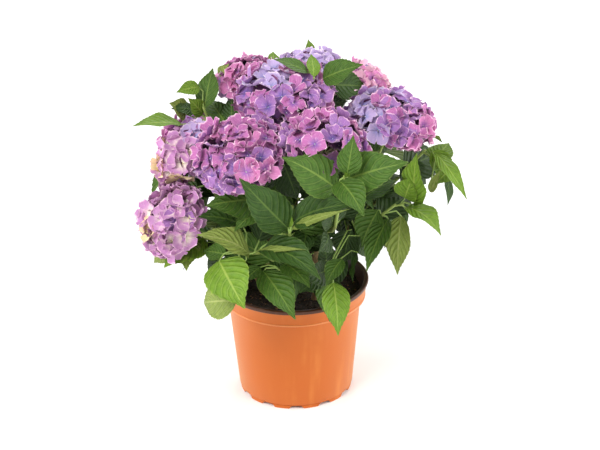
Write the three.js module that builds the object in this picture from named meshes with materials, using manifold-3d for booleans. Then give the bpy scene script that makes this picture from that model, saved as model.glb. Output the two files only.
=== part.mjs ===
// Potted mophead hydrangea: canes in a round plastic pot, leafy shoots and domed flower heads.
// Millimetres, +Z up. The origin is under the middle of the pot, and the face it shows is -Y.
import * as THREE from 'three';
import { mergeVertices } from 'three/addons/utils/BufferGeometryUtils.js';
import Module from 'manifold-3d';

const wasm = await Module();
wasm.setup();

// Pot: a tapered body with a flared collar and a ring of feet
const potHeight = 180;
const potWall = 2.6;
const footRadius = 86.5;
const footHeight = 6;
const floorHeight = 5;
const archHeight = 4.8;
const bodyTopRadius = 100.4;
const bodyTopHeight = 150;
const ridgeRadius = 107;
const ridgeHeight = 152.6;
const lipRadius = 112.5;
const lipWidth = 7;
const edgeRounding = 1.5;
const potSides = 48;
const footCount = 12;
const soilHeight = 160;

// Gap kept between pieces that touch, and the room a leaf keeps from what it isn't part of
const seam = 0.3;
const leafRoom = 0.7;

// Limbs
const caneRadius = 5.4;
const boughRadius = 3.9;
const tipRadius = 2.7;
const stemTipRadius = 1.7;
const twigTipRadius = 1.35;
const stalkRadius = 1.9;
const caneSplay = 0.006;
const limbPull = 0.36;

// Leaves: pairs at right angles to the pair below, a smaller pair at the tip
const petioleRadius = 1.5;
const petioleKeel = 2.4;
const petioleLength = 20;
const rootOffset = 0.8;
const leafWidthRatio = 0.56;
const leafThickness = 0.024;
const widestAt = 0.34;
const shoulderAt = 0.7;
const shoulderWidth = 0.66;
const leafRise = 24;
const leafDroop = 52;
const levelling = 0.5;
const firstPairAt = 5;
const pairSpacing = 29;
const stemFoot = 12;
const youngLeaf = 0.72;
const youngRise = 14;

// Side twigs, and the places and sizes of their two pairs
const twigLength = 48;
const twigRise = 0.6;
const twigPairs = [[0.96, youngLeaf], [0.5, 0.9]];

// Ways to grow a leaf past what is near it: a tilt, a turn and a share of its length
const tries = [[0, 0, 1], [10, 0, 1], [-10, 0, 1], [0, 18, 1], [0, -18, 1], [20, 0, 1], [-20, 0, 1],
  [12, 26, 0.9], [12, -26, 0.9], [-12, 26, 0.9], [-12, -26, 0.9], [36, 0, 0.85], [-32, 0, 0.85]];

// Flower heads: a dome over a flatter underside, as shares of its radius
const domeHeight = 0.64;
const domeDepth = 0.40;
const coreShare = 0.78;
const headRoom = 1.1;
const neck = 8;

// Florets: how many a head of a given radius has, and how each sits on it
const countedRadius = 58;
const countedFlorets = 13;
const floretRadius = 17.5;
const floretReach = 112;
const floretSeat = 0.93;
const floretRoot = 0.34;
const petalNotch = 0.66;
const petalDroop = 1.5;
const eyeDepth = 2.5;
const goldenAngle = 137.508;

// Each cane: where it stands on the soil, and the shoot that its top becomes
const canes = [
  { name: 'cane_middle', foot: [4, 2], leader: 'top_front' },
  { name: 'cane_front_left', foot: [-22, -38], leader: 'front_left' },
  { name: 'cane_front_right', foot: [30, -36], leader: 'front_right' },
  { name: 'cane_right', foot: [50, 2], leader: 'right' },
  { name: 'cane_back_right', foot: [26, 40], leader: 'back_right' },
  { name: 'cane_back_left', foot: [-24, 38], leader: 'back_left' },
  { name: 'cane_left', foot: [-48, -4], leader: 'left_upper' },
];

// Each shoot: the cane it grows from and the share of the cane's length where it forks,
// the middle and radius of its flower head or the place of its tip, the way it leans,
// its leaf pairs, leaf length and the turn of its first pair
const shoots = [
  { name: 'top_front', bloom: [-9, -42, 485], radius: 68, toward: -90, lean: 6,
    pairs: 3, leaf: 92, turn: 25 },
  { name: 'front_left', bloom: [-70, -138, 436], radius: 63, toward: -125, lean: 24,
    pairs: 3, leaf: 96, turn: 20 },
  { name: 'front_right', bloom: [48, -150, 456], radius: 56, toward: -60, lean: 22,
    pairs: 2, leaf: 90, turn: 60 },
  { name: 'right', bloom: [145, -40, 447], radius: 62, toward: -5, lean: 20,
    pairs: 3, leaf: 92, turn: 35 },
  { name: 'back_right', bloom: [128, 175, 350], radius: 54, toward: 50, lean: 40,
    pairs: 3, leaf: 92, turn: 10 },
  { name: 'back_left', bloom: [-148, 146, 352], radius: 54, toward: 135, lean: 38,
    pairs: 3, leaf: 92, turn: 40 },
  { name: 'left_upper', bloom: [-156, -22, 392], radius: 54, toward: -170, lean: 34,
    pairs: 2, leaf: 88, turn: 58 },
  { name: 'left_lower', cane: 'cane_left', fork: 0.3, bloom: [-172, -84, 312], radius: 58,
    toward: -150, lean: 55, pairs: 2, leaf: 68, turn: 45 },
  { name: 'top_right', cane: 'cane_right', fork: 0.62, bloom: [122, 98, 451], radius: 46,
    toward: 30, lean: 16, pairs: 0 },
  { name: 'top_back', cane: 'cane_middle', fork: 0.45, bloom: [34, 92, 479], radius: 54,
    toward: 90, lean: 8, pairs: 0 },
  { name: 'top_left', cane: 'cane_back_left', fork: 0.55, bloom: [-64, 86, 469], radius: 44,
    toward: 140, lean: 12, pairs: 2, leaf: 88, turn: 15 },
  { name: 'back', cane: 'cane_back_right', fork: 0.5, bloom: [-12, 218, 400], radius: 56,
    toward: 95, lean: 30, pairs: 3, leaf: 94, turn: 30 },
  { name: 'crown', cane: 'cane_middle', fork: 0.75, tip: [31, 27, 488], toward: -60, lean: 6,
    pairs: 3, leaf: 92, turn: 176, rise: 28 },
  { name: 'high_left', cane: 'cane_left', fork: 0.6, tip: [-128, 30, 446], toward: 165,
    lean: 20, pairs: 4, leaf: 100, turn: 80, rise: 36, droop: 40 },
  { name: 'front', cane: 'cane_front_right', fork: 0.62, tip: [71, -200, 431], toward: -75,
    lean: 26, pairs: 4, leaf: 82, turn: 84, rise: 40, droop: 36 },
  { name: 'front_middle', cane: 'cane_front_left', fork: 0.5, tip: [-4, -182, 340],
    toward: -88, lean: 58, pairs: 4, leaf: 94, turn: 40, twigs: 1 },
  { name: 'low_left', cane: 'cane_front_left', fork: 0.22, tip: [-76, -154, 302],
    toward: -112, lean: 60, pairs: 3, leaf: 92, turn: 30 },
  { name: 'low_front', cane: 'cane_front_right', fork: 0.1, tip: [-20, -136, 260],
    toward: -96, lean: 70, pairs: 2, leaf: 88, turn: 55, droop: 76 },
  { name: 'low_right', cane: 'cane_front_right', fork: 0.24, tip: [60, -134, 252],
    toward: -74, lean: 70, pairs: 2, leaf: 88, turn: 35, droop: 76 },
  { name: 'side_right', cane: 'cane_right', fork: 0.36, tip: [146, -100, 342], toward: -36,
    lean: 46, pairs: 4, leaf: 88, turn: 65, twigs: 1 },
  { name: 'far_right', cane: 'cane_right', fork: 0.48, tip: [196, 4, 382], toward: 0,
    lean: 42, pairs: 4, leaf: 82, turn: 20, droop: 70 },
  { name: 'back_low_right', cane: 'cane_back_right', fork: 0.28, tip: [148, 110, 262],
    toward: 38, lean: 62, pairs: 3, leaf: 90, turn: 50, twigs: 1 },
  { name: 'back_low_left', cane: 'cane_back_left', fork: 0.3, tip: [-112, 140, 262],
    toward: 128, lean: 62, pairs: 3, leaf: 90, turn: 35, twigs: 1 },
  { name: 'side_left', cane: 'cane_left', fork: 0.18, tip: [-138, 18, 268], toward: 172,
    lean: 60, pairs: 3, leaf: 88, turn: 45, twigs: 1 },
];

const potMaterial = new THREE.MeshStandardMaterial({ color: 0xc8622f, roughness: 0.45, metalness: 0 });
const soilMaterial = new THREE.MeshStandardMaterial({ color: 0x1d1512, roughness: 0.95, metalness: 0 });
const stemMaterial = new THREE.MeshStandardMaterial({ color: 0x6f7a3a, roughness: 0.7, metalness: 0 });
const leafMaterial = new THREE.MeshStandardMaterial({ color: 0x4c7a34, roughness: 0.55, metalness: 0 });
const bloomMaterial = new THREE.MeshStandardMaterial({ color: 0xa877b8, roughness: 0.65, metalness: 0 });

const vector = (x, y, z) => new THREE.Vector3(x, y, z);
const radians = THREE.MathUtils.degToRad;

function seededRule(seed) {
  let state = seed;
  const next = () => {
    state = (state * 1664525 + 1013904223) % 4294967296;
    return state / 4294967296;
  };
  next();
  next();
  return next;
}

function solidFrom(geometry) {
  geometry.deleteAttribute('normal');
  geometry.deleteAttribute('uv');
  const merged = mergeVertices(geometry);
  const corners = merged.index.array;
  const triangles = [];
  for (let i = 0; i < corners.length; i += 3) {
    const [a, b, c] = corners.slice(i, i + 3);
    if (a !== b && b !== c && c !== a) triangles.push(a, b, c);
  }
  return new wasm.Manifold(new wasm.Mesh({
    numProp: 3,
    vertProperties: new Float32Array(merged.attributes.position.array),
    triVerts: new Uint32Array(triangles),
  }));
}

function geometryFrom(solid) {
  const mesh = solid.getMesh();
  const geometry = new THREE.BufferGeometry();
  geometry.setAttribute('position', new THREE.BufferAttribute(mesh.vertProperties, 3));
  geometry.setIndex(new THREE.BufferAttribute(mesh.triVerts, 1));
  geometry.computeVertexNormals();
  return geometry;
}

const largestBody = (solid) => solid.decompose().sort((a, b) => b.volume() - a.volume())[0];

// A closed skin through rings of points; a ring of one point is a tip
function loft(rings) {
  const triangles = [];
  let start = 0;
  for (let r = 0; r + 1 < rings.length; r++) {
    const count = rings[r].length;
    const nextCount = rings[r + 1].length;
    const next = start + count;
    const sides = Math.max(count, nextCount);
    for (let i = 0; i < sides; i++) {
      const j = (i + 1) % sides;
      if (count > 1) triangles.push(start + i, start + j, nextCount > 1 ? next + j : next);
      if (nextCount > 1) triangles.push(count > 1 ? start + i : start, next + j, next + i);
    }
    start = next;
  }
  for (let i = 1; i + 1 < rings[0].length; i++) triangles.push(0, i + 1, i);
  for (let i = 1; i + 1 < rings.at(-1).length; i++) triangles.push(start, start + i, start + i + 1);
  const geometry = new THREE.BufferGeometry().setFromPoints(rings.flat());
  geometry.setIndex(triangles);
  return geometry;
}

// A tapering round limb along a curve; a level one is cut flat where it stands on the soil
function limb(curve, startRadius, endRadius, sides, steps, level = false) {
  const frames = curve.computeFrenetFrames(steps);
  const rings = [];
  for (let i = 0; i <= steps; i++) {
    const middle = curve.getPointAt(i / steps);
    const radius = THREE.MathUtils.lerp(startRadius, endRadius, i / steps);
    rings.push(Array.from({ length: sides }, (_, k) => {
      const angle = (k / sides) * 2 * Math.PI;
      return middle.clone()
        .addScaledVector(frames.normals[i], radius * Math.cos(angle))
        .addScaledVector(frames.binormals[i], radius * Math.sin(angle));
    }));
  }
  if (level) {
    const rise = frames.tangents[0];
    const height = curve.getPointAt(0).z;
    rings[0].forEach((point) => point.addScaledVector(rise, (height - point.z) / rise.z));
  }
  return solidFrom(loft(rings));
}

// Pot and soil
function potProfile() {
  const inside = floorHeight + potWall;
  return [
    [0, floorHeight], [footRadius - 6, floorHeight], [footRadius - 5, 0], [footRadius - 1, 0],
    [footRadius - 1, footHeight - 0.6], [footRadius + 0.6, footHeight + 0.8],
    [bodyTopRadius, bodyTopHeight], [ridgeRadius, ridgeHeight - 0.8], [ridgeRadius, ridgeHeight + 0.8],
    [lipRadius, potHeight - edgeRounding], [lipRadius - edgeRounding, potHeight],
    [lipRadius - lipWidth, potHeight - 1], [bodyTopRadius - potWall, bodyTopHeight],
    [footRadius - potWall, inside], [0, inside],
  ].map(([radius, height]) => new THREE.Vector2(radius, height));
}

function pot() {
  const geometry = new THREE.LatheGeometry(potProfile(), potSides);
  geometry.rotateX(Math.PI / 2);
  const position = geometry.attributes.position;
  const sidesPerFoot = potSides / footCount;
  for (let i = 0; i < position.count; i++) {
    const turn = Math.atan2(position.getY(i), position.getX(i));
    const side = Math.round((turn / (2 * Math.PI)) * potSides + potSides);
    const underArch = side % sidesPerFoot < 1;
    if (underArch && position.getZ(i) < 0.01) position.setZ(i, archHeight);
  }
  return solidFrom(geometry);
}

function soil() {
  const inside = floorHeight + potWall;
  const wallRadius = (height) => THREE.MathUtils.mapLinear(
    height, inside, bodyTopHeight, footRadius - potWall, bodyTopRadius - potWall) - seam;
  const low = inside + seam;
  const collar = THREE.MathUtils.mapLinear(
    soilHeight, bodyTopHeight, potHeight - 1, bodyTopRadius - potWall, lipRadius - lipWidth) - seam;
  const profile = [[0, low], [wallRadius(low), low], [wallRadius(bodyTopHeight), bodyTopHeight],
    [collar, soilHeight], [0, soilHeight]].map(([radius, height]) => new THREE.Vector2(radius, height));
  const geometry = new THREE.LatheGeometry(profile, potSides / 2);
  geometry.rotateX(Math.PI / 2);
  return solidFrom(geometry);
}

// The way a shoot grows at its tip, and the frame of a flower head or a stem about it
function leanDirection(toward, lean) {
  const [turn, tilt] = [radians(toward), radians(lean)];
  return vector(Math.cos(turn) * Math.sin(tilt), Math.sin(turn) * Math.sin(tilt), Math.cos(tilt));
}

function frameAbout(axis) {
  const across = vector(0, 1, 0).cross(axis).normalize();
  return { across, along: axis.clone().cross(across), axis };
}

// Flower heads
function domePoint(head, polar, turn, share) {
  const { across, along, axis } = frameAbout(head.axis);
  const height = Math.cos(polar) * (Math.cos(polar) > 0 ? domeHeight : domeDepth);
  const reach = head.radius * share;
  return head.middle.clone()
    .addScaledVector(across, reach * Math.sin(polar) * Math.cos(turn))
    .addScaledVector(along, reach * Math.sin(polar) * Math.sin(turn))
    .addScaledVector(axis, reach * height);
}

function domeNormal(head, polar, turn) {
  const { across, along, axis } = frameAbout(head.axis);
  const height = Math.cos(polar) > 0 ? domeHeight : domeDepth;
  return vector(0, 0, 0)
    .addScaledVector(across, Math.sin(polar) * Math.cos(turn))
    .addScaledVector(along, Math.sin(polar) * Math.sin(turn))
    .addScaledVector(axis, Math.cos(polar) / height)
    .normalize();
}

function dome(head, share, sides, bands) {
  const rings = [];
  for (let b = 0; b <= bands; b++) {
    const polar = Math.PI * (1 - b / bands);
    const count = b === 0 || b === bands ? 1 : sides;
    rings.push(Array.from({ length: count }, (_, k) =>
      domePoint(head, polar, (k / sides) * 2 * Math.PI, share)));
  }
  return solidFrom(loft(rings));
}

// One floret: four petals round a sunken eye, tapering back to a point inside the core
function floret(head, polar, turn, size, roll) {
  const seat = domePoint(head, polar, turn, floretSeat);
  const { across, along, axis } = frameAbout(domeNormal(head, polar, turn));
  const rim = Array.from({ length: 8 }, (_, k) => {
    const angle = roll + (k / 8) * 2 * Math.PI;
    const reach = k % 2 === 0 ? size : size * petalNotch;
    return seat.clone()
      .addScaledVector(across, reach * Math.cos(angle))
      .addScaledVector(along, reach * Math.sin(angle))
      .addScaledVector(axis, k % 2 === 0 ? -petalDroop : 0);
  });
  const root = seat.clone().addScaledVector(axis, -head.radius * floretRoot);
  const eye = seat.clone().addScaledVector(axis, -eyeDepth);
  return solidFrom(loft([[root], rim, [eye]]));
}

const stalk = (head) =>
  limb(new THREE.LineCurve3(head.stalkStart, head.middle), stalkRadius, stalkRadius, 6, 1);

function flowerHead(head, seed) {
  const rule = seededRule(seed);
  let solid = dome(head, coreShare, 9, 4);
  const count = Math.round(countedFlorets * (head.radius / countedRadius) ** 2);
  const spread = 1 - Math.cos(radians(floretReach));
  for (let k = 0; k < count; k++) {
    const polar = Math.acos(1 - ((k + 0.5) / count) * spread);
    const turn = radians(k * goldenAngle) + (rule() - 0.5) * 0.2;
    const size = floretRadius * (0.92 + 0.16 * rule());
    solid = solid.add(floret(head, polar, turn, size, rule() * Math.PI));
  }
  return solid.add(stalk(head));
}

// A leaf on its petiole, from the axis of its stem: rings of left edge, right edge and keel
function leaf(place, outward, stemDirection, length, rise, droop, room = 0) {
  const along = outward.clone().multiplyScalar(Math.cos(rise)).addScaledVector(stemDirection, Math.sin(rise));
  const level = vector(0, 0, 1).cross(outward).multiplyScalar(levelling);
  const face = along.clone().cross(stemDirection.clone().cross(outward).add(level)).normalize();
  const side = face.clone().cross(along);
  const halfWidth = (length * leafWidthRatio) / 2;
  const thickness = length * leafThickness;
  const ring = (share, half, depth) => {
    const bend = droop * Math.max(share, 0);
    const reach = share < 0 ? rootOffset : petioleLength + (length / droop) * Math.sin(bend);
    const drop = (length / droop) * (1 - Math.cos(bend));
    const middle = place.clone().addScaledVector(along, reach).addScaledVector(face, -drop);
    const down = face.clone().multiplyScalar(-Math.cos(bend)).addScaledVector(along, -Math.sin(bend));
    if (half === 0) return [middle.addScaledVector(along, room)];
    return [
      middle.clone().addScaledVector(side, half + room).addScaledVector(down, -room),
      middle.clone().addScaledVector(side, -half - room).addScaledVector(down, -room),
      middle.clone().addScaledVector(down, depth + room),
    ];
  };
  return solidFrom(loft([
    ring(-1, petioleRadius, petioleKeel),
    ring(0, petioleRadius, petioleKeel),
    ring(widestAt, halfWidth, thickness),
    ring(shoulderAt, halfWidth * shoulderWidth, thickness),
    ring(1, 0, 0),
  ]));
}

// Shoots: where each flower head, stem and limb starts and ends
function layOut(shoot) {
  const axis = leanDirection(shoot.toward, shoot.lean);
  if (shoot.bloom) {
    const middle = vector(...shoot.bloom);
    const stalkStart = middle.clone().addScaledVector(axis, -shoot.radius * domeDepth - neck);
    shoot.head = { middle, axis, radius: shoot.radius, stalkStart };
    shoot.top = stalkStart.clone().addScaledVector(axis, -seam);
  } else {
    shoot.top = vector(...shoot.tip);
  }
  shoot.axis = axis;
  shoot.stemLength = shoot.pairs > 0 ? firstPairAt + (shoot.pairs - 1) * pairSpacing + stemFoot : 0;
  shoot.stemStart = shoot.top.clone().addScaledVector(axis, -shoot.stemLength);
  shoot.limbEnd = shoot.stemStart.clone().addScaledVector(axis, shoot.pairs > 0 ? -seam : 0);
}

function limbCurve(start, startDirection, end, endDirection) {
  const pull = start.distanceTo(end) * limbPull;
  return new THREE.CubicBezierCurve3(
    start,
    start.clone().addScaledVector(startDirection, pull),
    end.clone().addScaledVector(endDirection, -pull),
    end);
}

const solids = new Map();
const group = new THREE.Group();
const place = (name, solid, material) => {
  solids.set(name, solid);
  const mesh = new THREE.Mesh(geometryFrom(solid), material);
  mesh.name = name;
  group.add(mesh);
};

shoots.forEach(layOut);
place('pot', pot(), potMaterial);
place('soil', soil(), soilMaterial);

// Canes first, then the boughs that fork from them, cut clear of the cane
for (const cane of canes) {
  const shoot = shoots.find((one) => one.name === cane.leader);
  const foot = vector(cane.foot[0], cane.foot[1], soilHeight + seam);
  const outward = vector(cane.foot[0], cane.foot[1], 0).multiplyScalar(caneSplay);
  outward.add(vector(0, 0, 1)).normalize();
  cane.curve = limbCurve(foot, outward, shoot.limbEnd, shoot.axis);
  cane.solid = limb(cane.curve, caneRadius, tipRadius, 7, 8, true);
  place(cane.name, cane.solid, stemMaterial);
}
for (const shoot of shoots.filter((one) => one.cane)) {
  const cane = canes.find((one) => one.name === shoot.cane);
  const start = cane.curve.getPointAt(shoot.fork);
  const sideways = shoot.limbEnd.clone().sub(start).normalize();
  const startDirection = cane.curve.getTangentAt(shoot.fork).add(sideways).normalize();
  const curve = limbCurve(start, startDirection, shoot.limbEnd, shoot.axis);
  const clearCane = limb(cane.curve, caneRadius + seam, tipRadius + seam, 7, 8);
  const bough = limb(curve, boughRadius, tipRadius, 5, 6).subtract(clearCane);
  place(`bough_${shoot.name}`, largestBody(bough), stemMaterial);
}

// Flower heads, each inside its own dome
const spaces = new Map();
shoots.forEach((shoot, index) => {
  if (!shoot.head) return;
  spaces.set(`head_${shoot.name}`, dome(shoot.head, headRoom, 12, 6).add(stalk(shoot.head)));
  place(`head_${shoot.name}`, flowerHead(shoot.head, index + 1), bloomMaterial);
});

// Leaf masses: a leaf that would touch a limb, a dome or another mass tries another way to grow,
// and is skipped if none is free
function leafPair(place, axis, turn, size, shoot, rule, others) {
  const { across, along } = frameAbout(axis);
  const leaves = [];
  for (const side of [0, 180]) {
    const heading = turn + side + (rule() - 0.5) * 20;
    const fullLength = shoot.leaf * size * (0.9 + 0.2 * rule());
    const fullRise = (shoot.rise ?? leafRise) + (size < 1 ? youngRise : 0) + (rule() - 0.5) * 16;
    const droop = radians((shoot.droop ?? leafDroop) * (0.75 + 0.5 * rule()));
    const grown = (tilt, swing, share, room) => {
      const angle = radians(heading + swing);
      const outward = across.clone().multiplyScalar(Math.cos(angle)).addScaledVector(along, Math.sin(angle));
      return leaf(place, outward, axis, fullLength * share, radians(fullRise + tilt), droop, room);
    };
    const fitting = tries.find((one) => {
      const test = grown(...one, leafRoom);
      return others.every((other) => test.intersect(other).isEmpty());
    });
    if (fitting) leaves.push(grown(...fitting, 0));
  }
  return leaves;
}

function leafMass(shoot, rule, others) {
  const pieces = [shoot.stem];
  for (let pair = 0; pair < shoot.pairs; pair++) {
    const place = shoot.top.clone().addScaledVector(shoot.axis, -firstPairAt - pair * pairSpacing);
    const size = pair === 0 && !shoot.head ? youngLeaf : 1;
    pieces.push(...leafPair(place, shoot.axis, shoot.turn + pair * 90, size, shoot, rule, others));
  }
  // Side twigs leave the stem between its pairs, each with two pairs of its own
  for (let twig = 0; twig < (shoot.twigs ?? 0); twig++) {
    const { across, along } = frameAbout(shoot.axis);
    const angle = radians(shoot.turn + 45 + twig * 180);
    const direction = across.clone().multiplyScalar(Math.cos(angle))
      .addScaledVector(along, Math.sin(angle)).addScaledVector(shoot.axis, twigRise).normalize();
    const below = firstPairAt + pairSpacing * (1.5 + 0.3 * twig);
    const start = shoot.top.clone().addScaledVector(shoot.axis, -below);
    const end = start.clone().addScaledVector(direction, twigLength);
    const side = limb(new THREE.LineCurve3(start, end), stemTipRadius, twigTipRadius, 3, 1);
    if (!others.every((other) => side.intersect(other).isEmpty())) continue;
    pieces.push(side);
    for (const [share, size] of twigPairs) {
      const place = start.clone().lerp(end, share);
      pieces.push(...leafPair(place, direction, shoot.turn + 90 * share, size, shoot, rule, others));
    }
  }
  return pieces.reduce((whole, piece) => whole.add(piece));
}

const leafy = shoots.filter((shoot) => shoot.pairs > 0);
for (const shoot of leafy) {
  shoot.stem = limb(new THREE.LineCurve3(shoot.stemStart, shoot.top), tipRadius, stemTipRadius, 3, 1);
}
leafy.forEach((shoot, index) => {
  const stems = leafy.filter((one) => one !== shoot).map((one) => one.stem);
  const others = [...solids].map(([name, solid]) => spaces.get(name) ?? solid).concat(stems);
  place(`leaves_${shoot.name}`, leafMass(shoot, seededRule(100 + index), others), leafMaterial);
});

export default group;
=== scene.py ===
from math import acos, atan2, copysign, cos, degrees, hypot, pi, radians, sin, sqrt
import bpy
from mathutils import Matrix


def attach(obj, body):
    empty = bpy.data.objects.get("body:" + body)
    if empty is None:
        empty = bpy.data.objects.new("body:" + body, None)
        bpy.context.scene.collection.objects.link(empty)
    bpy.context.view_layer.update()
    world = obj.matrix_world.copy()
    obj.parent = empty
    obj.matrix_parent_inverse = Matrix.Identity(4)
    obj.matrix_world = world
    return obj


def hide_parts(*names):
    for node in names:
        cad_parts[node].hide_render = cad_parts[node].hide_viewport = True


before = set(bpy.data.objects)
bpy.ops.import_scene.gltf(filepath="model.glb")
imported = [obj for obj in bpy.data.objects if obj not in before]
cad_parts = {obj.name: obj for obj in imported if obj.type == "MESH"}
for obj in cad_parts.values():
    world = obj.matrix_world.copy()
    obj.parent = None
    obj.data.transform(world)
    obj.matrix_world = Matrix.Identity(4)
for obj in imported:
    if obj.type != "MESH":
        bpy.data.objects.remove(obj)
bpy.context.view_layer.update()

from types import SimpleNamespace
import bmesh
import bpy
from mathutils import Matrix, Vector, noise
from mathutils.bvhtree import BVHTree
from mathutils.kdtree import KDTree

# Potted mophead hydrangea. Lengths are in millimetres until a piece is finished, angles in degrees.
scene = bpy.context.scene
metre = 0.001
skyward = Vector((0, 0, 1))


def seededRule(seed):
    state = seed

    def draw():
        nonlocal state
        state = (state * 1664525 + 1013904223) % 4294967296
        return state / 4294967296

    draw()
    draw()
    return draw


def mix(first, second, share):
    return first + (second - first) * share


# A draw for each value between the least and the most that it may be
def drawOwn(ranges, rule):
    return SimpleNamespace(**{name: mix(*ends, rule()) for name, ends in ranges.items()})


def clamp(value, low=0.0, high=1.0):
    return max(low, min(high, value))


def swung(first, second, angle):
    return first * cos(angle) + second * sin(angle)


def addObject(name, data):
    thing = bpy.data.objects.new(name, data)
    scene.collection.objects.link(thing)
    return thing


# Camera, floor and light
view = {"place": (0.0104, -2.2235, 1.3021), "down": 24.98, "roll": -1.07, "lens": 98.9, "sensor": 36,
        "farthest": 30}
lens = bpy.data.cameras.new("viewCamera")
lens.sensor_fit = 'HORIZONTAL'
lens.sensor_width = view["sensor"]
lens.lens = view["lens"]
lens.clip_end = view["farthest"]
camera = addObject("viewCamera", lens)
aim = Matrix.Translation(view["place"]) @ Matrix.Rotation(radians(90 - view["down"]), 4, 'X')
camera.matrix_world = aim @ Matrix.Rotation(radians(view["roll"]), 4, 'Z')
scene.camera = camera
scene.view_settings.view_transform = 'Standard'

studio = {
    "floorSize": 6, "floorColour": (0.96, 0.96, 0.95, 1), "sky": (1.0, 1.0, 1.0, 1), "skyStrength": 0.62,
    "middle": (0, 0, 0.3),
    "lights": [
        ("keyLight", (-1.5, -1.9, 2.5), 1.5, 74), ("fillLight", (1.9, -1.4, 1.3), 1.6, 24),
        ("backLight", (0.4, 2.2, 2.0), 1.4, 30), ("leftEdgeLight", (-2.2, 0.3, 0.6), 1.2, 20),
        ("rightEdgeLight", (2.2, 0.4, 0.7), 1.2, 28), ("lowLight", (-0.3, -2.5, 0.25), 1.5, 7),
    ],
}
world = bpy.data.worlds.new("studioAir")
world.use_nodes = True
sky = world.node_tree.nodes["Background"]
sky.inputs["Color"].default_value = studio["sky"]
sky.inputs["Strength"].default_value = studio["skyStrength"]
scene.world = world
for name, place, size, power in studio["lights"]:
    lamp = bpy.data.lights.new(name, 'AREA')
    lamp.shape = 'DISK'
    lamp.size = size
    lamp.energy = power
    light = addObject(name, lamp)
    light.location = place
    light.rotation_euler = (Vector(studio["middle"]) - Vector(place)).to_track_quat('-Z', 'Y').to_euler()
print("camera and light are set")


# Node helpers: the short ones build in the shader group at hand, which the name tree stands for
def linear(red, green, blue):
    def channel(value):
        value = value / 255
        return value / 12.92 if value <= 0.04045 else ((value + 0.055) / 1.055) ** 2.4
    return (channel(red), channel(green), channel(blue), 1)


def newNode(tree, kind, inputs, **settings):
    node = tree.nodes.new("ShaderNode" + kind)
    for name, value in settings.items():
        setattr(node, name, value)
    for key, value in inputs.items():
        if isinstance(value, bpy.types.NodeSocket):
            tree.links.new(value, node.inputs[key])
        else:
            node.inputs[key].default_value = value
    return node


def calc(operation, *values):
    return newNode(tree, "Math", dict(enumerate(values)), operation=operation).outputs[0]


def times(first, second):
    return calc('MULTIPLY', first, second)


def minus(first, second):
    return calc('SUBTRACT', first, second)


def timesPlus(first, second, third):
    return calc('MULTIPLY_ADD', first, second, third)


def ramp(value, low, high):
    ends = {"Value": value, "From Min": low, "From Max": high}
    return newNode(tree, "MapRange", ends, interpolation_type='SMOOTHSTEP').outputs["Result"]


def fade(value, low, high):
    return minus(1.0, ramp(value, low, high))


def blend(share, first, second):
    return newNode(tree, "Mix", {"Factor": share, 6: first, 7: second}, data_type='RGBA').outputs[2]


def speckle(place, scale, detail=3.0, roughness=0.5, stretch=None):
    if stretch:
        place = newNode(tree, "Mapping", {"Vector": place, "Scale": stretch}).outputs["Vector"]
    inputs = {"Vector": place, "Scale": scale, "Detail": detail, "Roughness": roughness}
    return newNode(tree, "TexNoise", inputs).outputs["Fac"]


def objectPoint():
    return newNode(tree, "TexCoord", {}).outputs["Object"]


def sheetPoint():
    sheet = newNode(tree, "UVMap", {}, uv_map="OFBake").outputs["UV"]
    parts = newNode(tree, "SeparateXYZ", {"Vector": sheet}).outputs
    return sheet, parts["X"], parts["Y"]


def newGroup(name, colours, values, outputs):
    group = bpy.data.node_groups.new(name, 'ShaderNodeTree')
    for colour in colours:
        group.interface.new_socket(name=colour, in_out='INPUT', socket_type='NodeSocketColor')
    for key, value in values.items():
        socket = group.interface.new_socket(name=key, in_out='INPUT', socket_type='NodeSocketFloat')
        socket.default_value = value
    for output in outputs:
        kind = 'NodeSocketColor' if output == "Color" else 'NodeSocketFloat'
        group.interface.new_socket(name=output, in_out='OUTPUT', socket_type=kind)
    return group, group.nodes.new("NodeGroupInput").outputs, group.nodes.new("NodeGroupOutput").inputs


def giveOut(**values):
    for key, value in values.items():
        tree.links.new(value, result[key])


# The values go to the group's inputs in their order, colours as they are on the screen
def newMaterial(name, roughness, group=None, values=(), bump=0.0, bumpSize=0.001, sheen=0.0, specular=0.5,
                sheenTint=(1, 1, 1, 1)):
    material = bpy.data.materials.new(name)
    material.use_nodes = True
    links = material.node_tree.links
    shader = material.node_tree.nodes["Principled BSDF"].inputs
    shader["Roughness"].default_value = roughness
    shader["Sheen Weight"].default_value = sheen
    shader["Specular IOR Level"].default_value = specular
    shader["Sheen Tint"].default_value = sheenTint
    if group:
        inputs = dict(enumerate(linear(*value) if isinstance(value, tuple) else value for value in values))
        skin = newNode(material.node_tree, "Group", inputs, node_tree=bpy.data.node_groups[group])
        links.new(skin.outputs["Color"], shader["Base Color"])
        if "Roughness" in skin.outputs:
            links.new(skin.outputs["Roughness"], shader["Roughness"])
        if bump:
            relief = newNode(material.node_tree, "Bump",
                             {"Strength": bump, "Distance": bumpSize, "Height": skin.outputs["Height"]})
            links.new(relief.outputs["Normal"], shader["Normal"])
    return material


# Mottled moulded plastic: two tones of one colour, fine grain, and rubbed paler patches
tree, given, result = newGroup("plasticSkin", ["Colour", "Worn Colour"], {"Base Roughness": 0.42},
                               ["Color", "Roughness", "Height"])
place = objectPoint()
streak = speckle(place, 60.0, stretch=(1, 1, 0.06))
rubbed = times(ramp(speckle(place, 9.0, 4.0, 0.6), 0.35, 0.75), ramp(streak, 0.45, 0.8))
giveOut(Color=blend(rubbed, given["Colour"], given["Worn Colour"]),
        Roughness=timesPlus(streak, 0.14, minus(given["Base Roughness"], 0.06)),
        Height=speckle(place, 900.0, 2.0, 0.6))

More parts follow.
